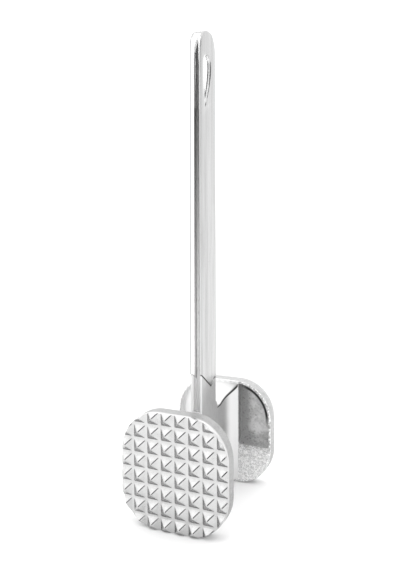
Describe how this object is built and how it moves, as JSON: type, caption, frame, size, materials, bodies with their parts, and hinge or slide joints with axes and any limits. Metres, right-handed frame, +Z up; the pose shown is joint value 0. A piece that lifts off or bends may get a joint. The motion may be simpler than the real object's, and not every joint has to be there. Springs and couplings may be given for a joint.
{
  "type": "meat tenderizer",
  "caption": "Hand meat tenderizer: two pyramid-toothed square faces joined by a web, on a long flat bar handle with a hanging hole.",
  "frame": {"origin": "on the bench, under the middle of the whole part's box", "axes": "+X to the right of the coarse face, +Y from the coarse face towards the fine face, +Z up along the handle"},
  "size_m": [0.0552, 0.0756, 0.2442],
  "materials": {
    "coarse_face_plate": "cast, bright on the tooth flanks, light grey mottling on the edges and in the pockets",
    "fine_face_plate": "cast, bright on the tooth flanks, light grey mottling on the edges and in the pockets",
    "web_and_tang": "smooth grey casting, satin",
    "handle_sleeve": "sheet, brushed along its length"
  },
  "bodies": {
    "root": {"coarse_face_plate": "coarse_face_plate", "fine_face_plate": "fine_face_plate", "web_and_tang": "web_and_tang", "handle_sleeve": "handle_sleeve"}
  },
  "joints": []
}
